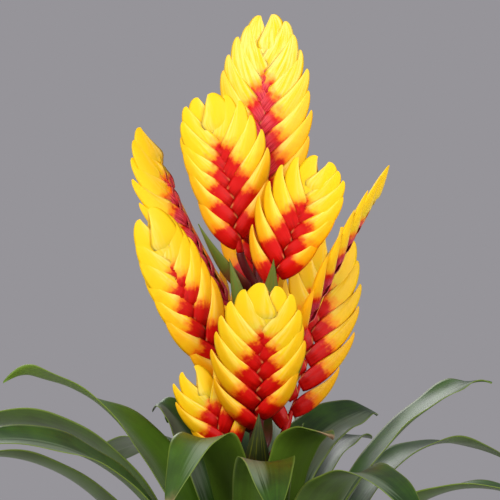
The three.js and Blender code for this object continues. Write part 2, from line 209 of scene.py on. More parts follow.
class Finish:
    """One material, and short ways to add the nodes that paint it."""

    def __init__(self, name):
        self.material = bpy.data.materials.new(name)
        self.material.use_nodes = True
        self.tree = self.material.node_tree
        self.tree.nodes.clear()

    def node(self, kind, settings, inputs, out=0):
        """Adds a node, sets it up, feeds its inputs by name or number, and returns one of its outputs."""
        made = self.tree.nodes.new("ShaderNode" + kind)
        for key, value in settings.items():
            setattr(made, key, value)
        for key, value in inputs.items():
            if isinstance(value, Wire):
                self.tree.links.new(value.socket, made.inputs[key])
            else:
                made.inputs[key].default_value = value
        return Wire(self, made.outputs[out]) if made.outputs else None

    def value(self, name):
        """The point value of that name, as the mesh carries it."""
        return self.node("Attribute", {"attribute_name": name}, {}, out="Fac")

    def place(self):
        """Where a point is, in metres."""
        return self.node("TexCoord", {}, {}, out="Object")

    def axes(self, x, y, z):
        """A vector made of three values."""
        return self.node("CombineXYZ", {}, {0: x, 1: y, 2: z})

    def height(self):
        """How high a point is, in metres."""
        return self.node("SeparateXYZ", {}, {0: self.place()}, out="Z")

    def noise(self, vector, scale, detail=2.0, roughness=0.5):
        """Soft noise from 0 to 1 with features of about 1 / scale."""
        inputs = {"Vector": vector, "Scale": scale, "Detail": detail, "Roughness": roughness}
        return self.node("TexNoise", {}, inputs)

    def step(self, value, low, high):
        """0 where value is at low, 1 where it is at high, smooth between. low may be the larger of them."""
        inputs = {"Value": value, "From Min": low, "From Max": high}
        return self.node("MapRange", {"interpolation_type": "SMOOTHSTEP"}, inputs)

    def mix(self, first, second, share):
        """Colour first where share is 0, second where it is 1."""
        inputs = {0: share, 6: colour(first), 7: colour(second)}
        return self.node("Mix", {"data_type": "RGBA"}, inputs, out=2)

    def relief(self, height, depth, normal=None):
        """A bump of that depth in metres."""
        inputs = {"Height": height, "Distance": depth, "Strength": 1.0}
        if normal is not None:
            inputs["Normal"] = normal
        return self.node("Bump", {}, inputs)

    def surface(self, **inputs):
        """Closes the material with its shader. Names are the shader's sockets with _ for a space."""
        named = {key.replace("_", " "): value for key, value in inputs.items()}
        if not isinstance(named["Base Color"], Wire):
            named["Base Color"] = colour(named["Base Color"])
        shader = self.node("BsdfPrincipled", {}, named)
        self.node("OutputMaterial", {}, {"Surface": shader})
        return self


def colour(value):
    """A colour socket's value: a Wire as it is, or three numbers with full alpha."""
    return value if isinstance(value, Wire) else (*value, 1.0)


# %% [markdown]
# A bract is waxy and smooth, yellow with a red foot. The red stops at a share of the bract's length, with a
# soft orange edge, so where the bracts overlap their red feet line up into the jagged red middle of the
# spike. Fine streaks run along it, and beside its red foot the thin margin is peach coloured. Young bracts
# near the top are greenish low down, and low bracts are a deeper gold. Each bract also gets lighter and
# creamier towards its margins, which is a painted highlight. Some spikes are wine red in the middle with
# painted pink sheen streaks, and the top spike has painted cream highlight streaks.
#
# An image texture would have to be unwrapped onto every bract. Instead each point carries a few values:
# along runs from root to tip, across from margin to margin, ripe from the lowest bract to the last, and lot
# is a random number. The colours are mixed from those, so one material fits every bract.

# %% The bracts' finish
CREAM_HIGHLIGHT = (1.00, 0.80, 0.22)
LEMON = (1.00, 0.61, 0.004)
GOLD = (0.93, 0.42, 0.001)
GREENISH = (0.72, 0.56, 0.012)
ORANGE = (1.00, 0.16, 0.001)
SCARLET = (0.62, 0.002, 0.000)
CRIMSON = (0.45, 0.001, 0.000)
WINE = (0.34, 0.003, 0.022)
ROSE_SHEEN = (0.85, 0.09, 0.13)
PEACH = (1.00, 0.42, 0.13)


def bract_finish():
    f = Finish("waxy_bract")
    along, across = f.value("along"), f.value("across")
    ripe, reach, lot, wine = f.value("ripe"), f.value("reach"), f.value("lot"), f.value("wine")
    streak = f.noise(f.axes(along * 2.5, across * 9.0, lot * 31.0), 1.0, detail=2.0, roughness=0.6)
    line = f.noise(f.axes(along * 4.0, across * 40.0, lot * 31.0), 1.0, detail=2.0)
    cloud = f.noise(f.place(), 230.0, detail=3.0)
    rib = f.noise(f.axes(along * 1.5, across * 5.0, lot * 31.0), 1.0, detail=1.0)
    edge = reach + (cloud - 0.5) * 0.26 + (streak - 0.5) * 0.10
    red = f.step(along - edge, 0.05, -0.06)
    orange = f.step(along - edge, 0.17, -0.03)
    # This mask grows towards the margins and lightens them there, as painted highlight.
    margin_highlight = f.step(abs(across), 0.35, 1.0)
    # Low bracts are a deeper gold of their own; the margin mask adds painted highlight, shifting the margins
    # to lemon.
    paint = f.mix(GOLD, LEMON, f.step(ripe + (cloud - 0.5) * 0.5 + margin_highlight * 0.4, -0.1, 0.75))
    paint = f.mix(paint, GREENISH, f.step(along, 0.6, 0.15) * f.step(ripe, 0.45, 0.9))
    # Painted cream highlight, in streaks along the margins.
    paint = f.mix(paint, CREAM_HIGHLIGHT, margin_highlight * f.step(streak, 0.3, 0.7) * 0.6)
    # Painted cream highlight streaks on the upper bracts, on the spikes that carry this value.
    paint = f.mix(paint, CREAM_HIGHLIGHT, f.step(streak, 0.35, 0.7) * f.step(ripe, 0.3, 0.8) * f.value("highlight_streaks"))
    paint = f.mix(paint, ORANGE, orange * 0.9)
    crimson = f.mix(SCARLET, CRIMSON, f.step(along + (streak - 0.5) * 0.5, 0.22, 0.0))
    # Wine red with painted pink sheen streaks, mixed into the red near the roots on some spikes.
    wine_with_painted_sheen = f.mix(WINE, ROSE_SHEEN, f.step(line + abs(across) * 0.15, 0.42, 0.72))
    crimson = f.mix(crimson, wine_with_painted_sheen, f.step(along + (cloud - 0.5) * 0.2, 0.30, 0.16) * wine)
    paint = f.mix(paint, crimson, red)
    margin = f.step(abs(across), 0.86, 0.95)
    beside_red = f.step(along, 0.02, 0.05) * f.step(along + streak * 0.1, 0.20, 0.13)
    paint = f.mix(paint, PEACH, margin * beside_red * 0.45)
    f.surface(
        Base_Color=paint,
        Roughness=0.38 + streak * 0.16,
        Normal=f.relief(rib, 0.00003),
        Specular_IOR_Level=0.24,
    )
    return f


# %% [markdown]
# A spike is flat, with bracts in two ranks, one to each side of its axis. The axis is a parabola from foot to
# tip. At each point of it three directions are needed: along it, out to the right rank, and out of the flat
# face. The axes could be drawn as curve objects, but in a table every spike can be compared with the others.
#
# In the table, places and lengths are in mm and angles in degrees. roll turns the flat face about the axis,
# and fold turns the right rank towards the left one. spread is the angle of the lowest bracts, skew leans
# both ranks to one side, crown is the share of the axis above the last bract's root, flare widens the last
# bracts and hollow narrows the margins. red is the share of a bract's length that is red. Two more values
# give some spikes a wine red middle with painted pink sheen streaks, and painted cream highlight streaks.

# %% The spikes' table
BRACT_BEND = math.radians(34)
BARE_FOOT = 4.5
CROWDING = 0.35
FOOT_LENGTH, FOOT_WIDTH = 0.88, 0.66
TOP_DEPTH, TOP_BLUNTNESS, LAST_DEPTH = 0.55, 0.65, 0.72

SPIKES = {
    "spike_top": dict(
        base=(1.7, 2, 350.2), tip=(8.3, 4, 480.3), bow=(-1.5, 0, 0), roll=0, count=18, length=47.5,
        half_width=8.6, depth=4.2, spread=34, skew=-3, crown=0.24, flare=0.1, hollow=1.4, red=0.34, wine=0.55,
        highlight_streaks=0.7),
    "spike_upper_left": dict(
        base=(-8.2, -10, 348.6), tip=(-28.1, -28, 434.4), bow=(2, 0, 0), roll=0, count=14, length=42,
        half_width=8.4, depth=4, spread=33, skew=-4, crown=0.33, flare=0.2, hollow=1.2, red=0.38),
    "spike_leaning_right": dict(
        base=(9.2, -20, 327.9), tip=(38.9, -44, 397.7), bow=(-1, 0, 0), roll=8, count=12, length=40,
        half_width=7.8, depth=4, spread=32, skew=10, crown=0.34, flare=0.2, hollow=1.7, red=0.38),
    "spike_far_left": dict(
        base=(-9.3, 3, 310.3), tip=(-61.4, 14, 418), bow=(-3, 0, 0), roll=-34, fold=56, count=15, length=41,
        half_width=8.2, depth=4, spread=26, skew=11, crown=0.27, flare=0.0, hollow=1.8, red=0.31, wine=1.0),
    "spike_middle_left": dict(
        base=(-10.5, -8, 274.6), tip=(-56.6, -52, 369.9), bow=(-4, 0, 0), roll=-20, count=14, length=41,
        half_width=8.4, depth=4, spread=25, skew=-8, crown=0.3, flare=0.2, hollow=1.5, red=0.33),
    "spike_front": dict(
        base=(1.1, -16, 250.6), tip=(5.7, -62, 332.3), bow=(0, 0, 0), roll=0, count=13, length=43,
        half_width=8.8, depth=4.2, spread=35, skew=5, crown=0.33, flare=0.2, hollow=1.3, red=0.36),
    "spike_right_edge": dict(
        base=(22.2, -18, 298), tip=(73.6, -34, 395.3), bow=(-1, 0, 0), roll=-68, fold=34, count=13, length=38,
        half_width=5.2, depth=3.6, spread=18, skew=11, crown=0.28, flare=0.0, hollow=1.7, red=0.31, wine=0.9),
    "spike_right": dict(
        base=(16, 8, 247.9), tip=(44.7, 24, 363.6), bow=(3, 0, 0), roll=0, count=14, length=43,
        half_width=7.2, depth=4, spread=33, skew=6, crown=0.3, flare=0.0, hollow=1.9, red=0.36),
    "spike_lower_left": dict(
        base=(-9.3, -8, 231.4), tip=(-33.2, -29, 286.6), bow=(-1, 0, 0), roll=-6, count=8, length=39,
        half_width=6.4, depth=3.4, spread=28, skew=-7, crown=0.42, flare=0.0, hollow=2.0, red=0.36),
    "spike_back_upper": dict(
        base=(-2, 16, 324), tip=(4, 52, 392), bow=(0, 3, 0), roll=180, count=10, length=40,
        half_width=8, depth=4, spread=33, skew=0, crown=0.34, flare=0.1, hollow=1.4, red=0.33),
    "spike_back_left": dict(
        base=(-12, 12, 282), tip=(-46, 50, 352), bow=(0, 3, 0), roll=150, count=10, length=40,
        half_width=8, depth=4, spread=33, skew=0, crown=0.34, flare=0.1, hollow=1.4, red=0.33),
    "spike_back_right": dict(
        base=(4, 18, 262), tip=(18, 62, 338), bow=(0, 3, 0), roll=190, count=10, length=40,
        half_width=8, depth=4, spread=33, skew=0, crown=0.34, flare=0.1, hollow=1.4, red=0.33),
}


def spike_handles(spike):
    """The three handles of the axis: its middle handle lies off the chord by twice the bow."""
    base, tip, bow = (np.array(spike[key], float) for key in ("base", "tip", "bow"))
    return [base, (base + tip) / 2 + 2 * bow, tip]


def spike_directions(spike, t, fold=0.0):
    """Along the axis, out to the right rank and out of the face, at shares t of the axis. fold turns them on
    from the roll, in degrees."""
    along = heading(spike_handles(spike), t)
    level = unit(np.cross(along, FRONT))
    roll = np.radians(spike["roll"] - fold + 0 * t)[:, None]
    right = level * np.cos(roll) - np.cross(along, level) * np.sin(roll)
    return along, right, unit(np.cross(right, along))


print(f"{len(SPIKES)} spikes with {sum(s['count'] for s in SPIKES.values())} bracts")


# %% [markdown]
# Each bract is a folded boat. Its middle line is an arc that starts wide of the axis and bends up along it.
# Seen flat, the keel is on the outer side of that line and the two margins, one in front and one behind, are
# on the inner side. Its ring runs from the back margin round the keel to the front margin, and back inside
# the boat. One bract could be sculpted and copied, but on a real spike they change from the foot to the top,
# and each lies on the next. So every bract is worked out from its place on the axis. First come the rules
# that all of them share.

# %% The bracts' rules
OUTER_COLUMNS, INNER_COLUMNS = 21, 9
SHARE_BEFORE_TIP, TIP_CROWDING = 0.996, 1.35
FULL_AT = 0.94
MOST_TUCK = 0.3


def bract_ring():
    """Round the ring: v is -1 at the back margin, 0 at the keel and 1 at the front margin, inside is 1 within
    the boat."""
    outer = np.linspace(-1, 1, OUTER_COLUMNS)
    inner = np.linspace(1, -1, INNER_COLUMNS + 2)[1:-1]
    return np.concatenate([outer, inner]), np.repeat([0.0, 1.0], [OUTER_COLUMNS, INNER_COLUMNS])


def swell(a):
    """How far the side stands off the flat, as a share of its full depth, at a from the keel (0) to the
    margin (1): a quarter sine to the power 0.8 that is full at 0.7, with the margin turned in a little."""
    return np.sin(np.pi / 2 * np.clip(a / 0.7, 0, 1)) ** 0.8 - 0.06 * smooth(0.9, 1.0, a)


def fullness(s):
    """The half-depth at s along a bract, as a share of its table value: it starts at 0.3, has gained 0.65 at
    0.14 and gains 0.3 more in all, and a factor 1 - s^3 closes it at the tip."""
    return (0.3 + 0.65 * smooth(0, 0.14, s) + 0.3 * s) * (1 - s ** 3)


def tuck(row, s, a, half):
    """How far a bract's margins are drawn in, as a share of its depth, so that they lie on the next bract of
    their own rank. under is how far that bract stands out there, at pitch further up, and the margin comes
    in by what it is short of full, up to MOST_TUCK."""
    onward = row["pitch"] * np.cos(row["angle"]) / row["length"]
    inward = row["pitch"] * np.sin(row["angle"] + 0.3) / (2 * half + 1)
    under = fullness(np.maximum(s - onward, 0)) / fullness(s) * swell(np.clip(1 - inward, 0, 1))
    short = FULL_AT - np.clip(under - 0.01, 0, FULL_AT)
    return smooth(0.55, 1.0, a) * np.clip(short, 0, MOST_TUCK)


# %% The bracts of one spike, row by row
AXIS_STEPS = 201
LAST_ANGLE = 3
LENGTH_CHANCE, ANGLE_CHANCE, LEAN_CHANCE = 0.025, 1.2, 0.9
RED_LOSS = 0.7


def bract_rows(spike):
    """One value a bract, as arrays that spread over rows and columns, and the vectors of each bract's root.

    q runs from 0 at the lowest bract to 1 at the last. The roots crowd towards the top. The length and the
    angle change with q^3, the width, depth and bluntness with q. Each bract has a little random length, angle
    and lean of its own, and a random number for its streaks."""
    count = spike["count"]
    k = np.arange(count)
    q = k / (count - 1)
    last = k == count - 1
    hand = np.where(k % 2, 1.0, -1.0)
    handles = spike_handles(spike)
    steps = curve(handles, np.linspace(0, 1, AXIS_STEPS))
    axis_length = np.linalg.norm(np.diff(steps, axis=0), axis=1).sum()
    t = between(BARE_FOOT / axis_length, 1 - spike["crown"], q + CROWDING * q * (1 - q))
    vectors = [curve(handles, t), *spike_directions(spike, t, spike.get("fold", 0) * (k % 2))]
    length = between(spike["length"], axis_length * spike["crown"], q ** 3)
    length = length * np.where(k < 2, FOOT_LENGTH, 1.0)
    length = length * chance.uniform(1 - LENGTH_CHANCE, 1 + LENGTH_CHANCE, count)
    angle = between(spike["spread"], LAST_ANGLE, q ** 3) - hand * spike["skew"] * (1 - q)
    start = np.radians(angle + chance.uniform(-ANGLE_CHANCE, ANGLE_CHANCE, count)) + BRACT_BEND / 2
    flare = 1 + spike["flare"] * smooth(0.8, 1.0, q)
    row = dict(
        ripe=q, last=last, hand=hand, length=length, angle=np.radians(angle), start=start,
        pitch=np.gradient(t) * 2 * axis_length,
        half_width=spike["half_width"] * between(FOOT_WIDTH, 1, q) * flare,
        depth=spike["depth"] * np.where(last, LAST_DEPTH, between(1, TOP_DEPTH, q)),
        blunt=between(1, TOP_BLUNTNESS, q),
        lean=chance.uniform(-LEAN_CHANCE, LEAN_CHANCE, count),
        lot=chance.uniform(0, 1, count),
        reach=spike["red"] * (1 - RED_LOSS * q ** 3),
    )
    return {key: value[:, None, None] for key, value in row.items()}, [v[:, None, None] for v in vectors]


# %% The bracts' surface
BRACT_ROWS = 34
WALL, WALL_SHARE, MARGIN_THINNING = 0.55, 0.45, 0.6
INSIDE_SHARE = 0.15
SHOULDER = 0.60
LAST_RISE, LAST_ROOT_WIDTH, LAST_ROOT_DEPTH = 0.5, 0.15, 0.3


def bracts(spike):
    """All bracts of a spike, (bract, row, column, 3), and the point values that paint them.

    With s along the middle line and turn = start - bend s its angle from the axis, the line has risen by
    length (sin start - sin turn) / bend and gone out by length (cos turn - cos start) / bend. The outline is
    sin(pi (0.2 + 0.8 s^0.75)) to the power blunt, raised again to SHOULDER for the keel and to hollow for the
    margins. The half-depth follows fullness(s). The last bract rises out of its neighbours over its root. The
    inside of the boat lies a wall further in, and keeps at least INSIDE_SHARE of the depth."""
    row, (root, along, right, face) = bract_rows(spike)
    x = np.linspace(0, 1, BRACT_ROWS)
    s = (SHARE_BEFORE_TIP * (1 - (1 - x) ** TIP_CROWDING))[None, :, None]
    v, inside = bract_ring()
    a = np.abs(v)[None, None, :]
    turn = row["start"] - BRACT_BEND * s
    rise = row["length"] * (np.sin(row["start"]) - np.sin(turn)) / BRACT_BEND
    out = row["length"] * (np.cos(turn) - np.cos(row["start"])) / BRACT_BEND
    outline = np.sin(np.pi * (0.2 + 0.8 * s ** 0.75))
    keel, margin = (outline ** (power * row["blunt"]) for power in (SHOULDER, spike["hollow"]))
    rising = np.where(row["last"], smooth(0, LAST_RISE, s), 1)
    half = row["half_width"] * between(keel, margin, a) * between(LAST_ROOT_WIDTH, 1, rising)
    thick = row["depth"] * fullness(s) * between(LAST_ROOT_DEPTH, 1, rising)
    side = swell(a) - tuck(row, s, a, half)
    wall = np.minimum(WALL, WALL_SHARE * np.minimum(half, thick + 0.2))
    wall = wall * inside * (1 - MARGIN_THINNING * a ** 4)
    keelward = half * (1 - 2 * a) - wall * (1 - a)
    sideways = np.sign(v) * np.maximum(thick * side - wall, INSIDE_SHARE * thick * side)
    sideways = sideways + row["lean"] * s ** 2
    rings = (
        root + along * (rise - keelward * np.sin(turn))[..., None]
        + right * (row["hand"] * (out + keelward * np.cos(turn)))[..., None]
        + face * sideways[..., None]
    )
    paint = {key: row[key] for key in ("ripe", "reach", "lot")}
    return rings, dict(paint, along=s, across=v, wine=spike.get("wine", 0), highlight_streaks=spike.get("highlight_streaks", 0))


# %% The rachis
RACHIS_RADIUS, RACHIS_THINNING = 2.1, 0.42
RACHIS_ROWS, RACHIS_COLUMNS = 24, 14


def rachis(spike):
    """A thin round rod inside the bracts, from the spike's foot to the root of its last bract. It is thickest
    on the bare stretch and thins to under half of that."""
    t = np.linspace(0, 1 - spike["crown"], RACHIS_ROWS)
    along, right, face = spike_directions(spike, t)
    radius = RACHIS_RADIUS * between(1, RACHIS_THINNING, smooth(0.02, 0.16, t))
    turn = np.linspace(0, 2 * np.pi, RACHIS_COLUMNS, endpoint=False)
    circle = right[:, None] * np.cos(turn)[:, None] + face[:, None] * np.sin(turn)[:, None]
    return (curve(spike_handles(spike), t)[:, None] + radius[:, None, None] * circle)[None]


# %% All the spikes
def make_spikes(finish):
    for name, spike in SPIKES.items():
        skin = Skin()
        rings, paint = bracts(spike)
        skin.add(rings, **paint)
        red_all_over = dict(along=0.0, across=0.3, ripe=0.0, reach=1.0, lot=0.5, highlight_streaks=0.0)
        skin.add(rachis(spike), wine=spike.get("wine", 0), **red_all_over)
        made = skin.build(name, finish)
        print(f"{name}: {spike['count']} bracts, {len(made.data.polygons)} faces")


make_spikes(bract_finish())

# %% [markdown]
# A strap leaf is leathery. Fine veins run along it, a grey sheen is painted in streaks on the half of it
# that faces the front, the edge is thin and lime green, and the underside is paler. Young leaves are a fresh
# green, and old tips are dry and brown. As on the bracts, the colours are mixed from values that the points
# carry, so the veins and streaks follow each leaf round its arch, which a pattern in space would not.

# %% The leaves' finish
DARK_GREEN = (0.009, 0.034, 0.002)
MID_GREEN = (0.030, 0.088, 0.004)
FRESH_GREEN = (0.120, 0.225, 0.012)
LIME = (0.170, 0.235, 0.022)
GREY_SHEEN = (0.165, 0.215, 0.140)
DRY_TAN = (0.30, 0.20, 0.10)
DRY_BROWN = (0.09, 0.045, 0.018)


def leaf_finish():
    f = Finish("leathery_leaf")
    along, across = f.value("along"), f.value("across")
    under, dry, lot, fresh = f.value("under"), f.value("dry"), f.value("lot"), f.value("fresh")
    vein = f.noise(f.axes(along * 3.0, across * 22.0, lot * 17.0), 1.0, detail=3.0, roughness=0.6)
    streak = f.noise(f.axes(along * 2.0, across * 7.0, lot * 41.0), 1.0, detail=4.0, roughness=0.65)
    cloud = f.noise(f.place(), 55.0, detail=4.0)
    paint = f.mix(DARK_GREEN, MID_GREEN, f.step(cloud + streak * 0.6, 0.55, 1.0))
    # Painted grey sheen, in streaks on the front half of the upper side.
    paint = f.mix(paint, GREY_SHEEN, f.step(f.value("bloom") + (streak - 0.5) * 1.5, 0.30, 0.95) * 0.72)
    paint = f.mix(paint, FRESH_GREEN, f.step(along, 0.40, 0.08) * 0.7)
    paint = f.mix(paint, FRESH_GREEN, fresh * (0.45 + under * 0.5))
    paint = f.mix(paint, LIME, under * 0.22)
    paint = f.mix(paint, LIME, f.step(abs(across), 0.91, 1.0) * 0.75)
    edge = dry + (cloud - 0.5) * 0.5
    paint = f.mix(paint, DRY_TAN, f.step(edge, 0.35, 0.6))
    paint = f.mix(paint, DRY_BROWN, f.step(edge, 0.75, 1.05))
    f.surface(
        Base_Color=paint,
        Roughness=0.40 + vein * 0.10 + dry * 0.2,
        Normal=f.relief(vein, 0.00003),
        Specular_IOR_Level=0.38,
    )
    return f


# %% [markdown]
# The leaves stand in a rosette, each the golden angle further round than the one below it, with the youngest
# in the middle. A leaf is a channelled strip on an arch. Near the stem it wraps round the others, because the
# channel's radius there is the distance from the stem, and so the feet nest into a cup. A bent plane with
# Solidify would do for a single leaf. A formula for the ring lets nineteen of them nest without touching.
#
# In the table, knee, crest and tip are (distance from the stem, height), and the numbers are mm and degrees.
# sway moves the tip sideways, twist turns it about its middle line, bank turns the whole free part, turn adds
# to the azimuth, hook bends the very tip down, and neck narrows the blade between two shares of its length.

# %% The leaves' table
LEAVES = [
    dict(knee=(42, 166), crest=(96, 276), tip=(200, 230), width=36, sway=6, twist=8),
    dict(knee=(43, 170), crest=(92, 264), tip=(186, 206), width=36, sway=-10, twist=-6),
    dict(knee=(42, 172), crest=(88, 268), tip=(184, 220), width=37, sway=8, twist=5),
    dict(knee=(41, 172), crest=(84, 250), tip=(160, 180), width=36, sway=-6, twist=0),
    dict(knee=(39, 178), crest=(82, 274), tip=(178, 226), width=37, sway=10, twist=-8),
    dict(knee=(36, 178), crest=(72, 288), tip=(188, 244), width=36, sway=4, twist=0, bank=25),
    dict(knee=(34, 184), crest=(70, 276), tip=(158, 214), width=37, sway=-8, twist=6),
    dict(knee=(33, 186), crest=(70, 288), tip=(172, 240), width=37, sway=8, twist=-6),
    dict(knee=(33, 184), crest=(88, 270), tip=(196, 250), width=36, sway=-8, twist=10, bank=-30),
    dict(knee=(16, 212), crest=(104, 287), tip=(130, 277), width=34, sway=0, twist=5, bank=10,
         neck=(0.8, 0.9, 0.2)),
    dict(knee=(27, 190), crest=(58, 274), tip=(140, 226), width=36, sway=-8, twist=8),
    dict(knee=(26, 196), crest=(52, 284), tip=(122, 214), width=35, sway=5, twist=0),
    dict(knee=(13, 186), crest=(50, 256), tip=(90, 242), width=34, sway=0, twist=0, turn=-8),
    dict(knee=(12, 224), crest=(80, 277), tip=(138, 288), width=35, sway=0, twist=130, bank=-70,
         neck=(0.6, 0.8, 0.6), hook=10, fresh=0.75, dry=0),
    dict(knee=(17, 204), crest=(34, 268), tip=(75, 250), width=33, sway=0, twist=-14, turn=-22, dry=0.8,
         fresh=0.3),
    dict(knee=(18, 204), crest=(44, 282), tip=(98, 250), width=33, sway=5, twist=6, turn=16),
    dict(knee=(13, 208), crest=(40, 304), tip=(92, 214), width=34, sway=0, twist=0, dry=0.5, fresh=0.4),
    dict(knee=(10, 246), crest=(46, 252), tip=(110, 260), width=34, sway=0, twist=10, bank=20, turn=32,
         hook=6),
    dict(knee=(10, 222), crest=(42, 268), tip=(59, 265), width=30, sway=0, twist=60, bank=-60, turn=10,
         hook=5),
]


# %% A leaf's middle line
FIRST_AZIMUTH, GOLDEN_ANGLE = 200, 137.5
LEAF_LEVELS, LEAVES_PER_LEVEL, LEVEL_STEP, INNER_RADIUS = 7, 3, 1.75, 8.2
LEAF_FOOT = 78.3


def leaf_line(leaf, index, t):
    """A leaf's middle line at shares t: its points, its distance from the stem, the directions across the
    blade and out of its upper side, and the level direction square to the arch. The line is a Bezier arch in
    the upright plane of the leaf's azimuth, moved sideways by sway."""
    azimuth = math.radians(FIRST_AZIMUTH + index * GOLDEN_ANGLE + leaf.get("turn", 0))
    away = np.array([math.cos(azimuth), math.sin(azimuth), 0])
    level_side = np.array([-math.sin(azimuth), math.cos(azimuth), 0])
    level = LEAF_LEVELS - 1 - index // LEAVES_PER_LEVEL
    handles = [(INNER_RADIUS + level * LEVEL_STEP, LEAF_FOOT), leaf["knee"], leaf["crest"], leaf["tip"]]
    radius, height = curve(handles, t).T
    slope = heading(handles, t)
    height = height - leaf.get("hook", 0) * np.clip((t - 0.9) / 0.1, 0, 1) ** 2
    sway = level_side * (leaf["sway"] * t ** 2)[:, None]
    centre = away * radius[:, None] + UP * height[:, None] + sway
    along = away * slope[:, :1] + UP * slope[:, 1:]
    over = UP * slope[:, :1] - away * slope[:, 1:]
    turn = np.radians(leaf.get("bank", 0) * smooth(0.05, 0.5, t) + leaf["twist"] * t ** 2)[:, None]
    across = level_side * np.cos(turn) + np.cross(along, level_side) * np.sin(turn)
    normal = over * np.cos(turn) + np.cross(along, over) * np.sin(turn)
    return centre, radius, across, normal, level_side


# %% A leaf's surface
CHANNEL, WRAP, LEAST_WIDTH = 40, 1.3, 0.6
LEAF_HALF_THICKNESS, LEAF_EDGE_THINNING = 0.45, 0.6
LEAF_ROWS, LEAF_COLUMNS, ROW_CROWDING = 110, 19, 1.15
LONG_RIPPLE, LONG_WAVES, RIPPLE_SLANT = 0.7, 23, 1.5
SHORT_RIPPLE, SHORT_WAVES = 0.4, 41


def leaf_width(leaf, radius, t):
    """The width at shares t: a strip that narrows towards its foot, closes at the tip by (1 - t^6)^0.8 and
    never wraps further round the stem than WRAP times its distance from it."""
    blade = leaf["width"] * (1 - 0.4 * (1 - t) ** 4) * np.clip(1 - t ** 6, 0, 1) ** 0.8
    first, last, share = leaf.get("neck", (0.5, 0.6, 1.0))
    blade = blade * between(1, share, smooth(first, last, t))
    return np.maximum(blade * np.tanh(WRAP * radius / np.maximum(blade, 1)), LEAST_WIDTH)


def leaf_rings(leaf, index):
    """One leaf as (1, row, column, 3) and its point values. A point is at the angle width (j - 1/2) / rho on
    an arc of radius rho, with j from one edge to the other, and the blade's half-thickness in or out of it.
    The free part's edges have two ripples, which grow with the square of the distance from the middle."""
    t = 1 - (1 - np.linspace(0, 1, LEAF_ROWS)) ** ROW_CROWDING
    centre, radius, across, normal, level_side = leaf_line(leaf, index, t)
    rho = CHANNEL * np.tanh(radius / CHANNEL)
    j = np.linspace(0, 1, LEAF_COLUMNS)
    j = np.concatenate([j, j[::-1]])
    under = np.repeat([0.0, 1.0], LEAF_COLUMNS)
    x = 2 * j - 1
    thickness = LEAF_HALF_THICKNESS * (1 - LEAF_EDGE_THINNING * x ** 4)
    lift = np.where(under > 0, -thickness, thickness)[None, :]
    phase = chance.uniform(0, 2 * np.pi, 2)
    long_ripple = LONG_RIPPLE * np.sin(LONG_WAVES * t[:, None] + phase[0] + RIPPLE_SLANT * x)
    short_ripple = SHORT_RIPPLE * np.sin(SHORT_WAVES * t[:, None] + phase[1])
    free = smooth(0.35, 0.7, t)[:, None]
    wave = free * x ** 2 * (long_ripple + short_ripple)
    angle = leaf_width(leaf, radius, t)[:, None] * (j[None, :] - 0.5) / rho[:, None]
    arm = rho[:, None] - lift
    rings = (
        centre[:, None] + across[:, None] * (arm * np.sin(angle))[..., None]
        + normal[:, None] * (rho[:, None] - arm * np.cos(angle) + wave)[..., None]
    )
    dry = leaf.get("dry", 0.1) * smooth(0.86, 1.0, t) + 0.25 * smooth(0.975, 1.0, t)
    # Where the painted grey sheen lies: upper side, 0.3 to 0.85 of the length, on the half nearer the front.
    reach = smooth(0.3, 0.55, t) * (1 - smooth(0.85, 1.0, t))
    front_half = smooth(-0.5, 0.7, x * np.sign(-level_side[1]))
    paint = dict(along=t[:, None], across=x, under=under, dry=dry[:, None], fresh=leaf.get("fresh", 0))
    paint.update(bloom=reach[:, None] * front_half * (1 - under), lot=chance.uniform(0, 1))
    return rings[None], paint


# %% All the leaves
def make_leaves(finish):
    for index, leaf in enumerate(LEAVES):
        skin = Skin()
        rings, paint = leaf_rings(leaf, index)
        skin.add(rings, **paint)
        skin.build(f"leaf_{index + 1:02d}", finish)
    print(f"{len(LEAVES)} leaves, each of {LEAF_ROWS} rings of {2 * LEAF_COLUMNS} points")


make_leaves(leaf_finish())

# %% [markdown]
# The flower stem is a tapering rod with a side stalk to each spike but the top one, and a primary bract under
# each stalk. It is green inside the rosette and dark crimson above. The primary bracts, called shields here,
# are red at their roots and turn olive, and each has its own shade of it, from dark to fresh. They could have
# a material of their own, but all of this grows as one piece, with the red running from stem to shield. So
# there is one material, and the point value leafy tells the shields from the rods. In the table, root, middle
# and tip are the handles of a shield's curve in mm, and shade is the share of dark green that it may have.

# %% The stem's finish
STEM_CRIMSON = (0.115, 0.004, 0.008)
STEM_GREEN = (0.06, 0.085, 0.02)
BRACT_DARK = (0.030, 0.040, 0.008)
BRACT_OLIVE = (0.16, 0.17, 0.012)
BRACT_GREEN = (0.10, 0.20, 0.015)
BRACT_RUST = (0.22, 0.055, 0.025)


def stem_finish():
    f = Finish("crimson_stem")
    cloud = f.noise(f.place(), 120.0, detail=4.0)
    grain = f.axes(f.value("across") * 9.0, f.value("along") * 2.0, f.value("lot") * 23.0)
    fibre = f.noise(grain, 1.0, detail=3.0)
    paint = f.mix(STEM_GREEN, STEM_CRIMSON, f.step(f.height() + (cloud - 0.5) * 0.02, 0.200, 0.225))
    leafy = f.mix(BRACT_OLIVE, BRACT_GREEN, f.step(fibre, 0.35, 0.65))
    leafy = f.mix(leafy, BRACT_DARK, f.value("shade") * f.step(fibre + cloud * 0.3, 0.35, 0.65))
    ripe = f.value("along") + (cloud - 0.5) * 0.3
    paint = f.mix(paint, BRACT_RUST, f.step(ripe, 0.10, 0.35) * f.value("leafy"))
    paint = f.mix(paint, leafy, f.step(ripe, 0.34, 0.62) * f.value("leafy"))
    f.surface(Base_Color=paint, Roughness=0.42 + fibre * 0.12, Normal=f.relief(fibre, 0.00015))
    return f


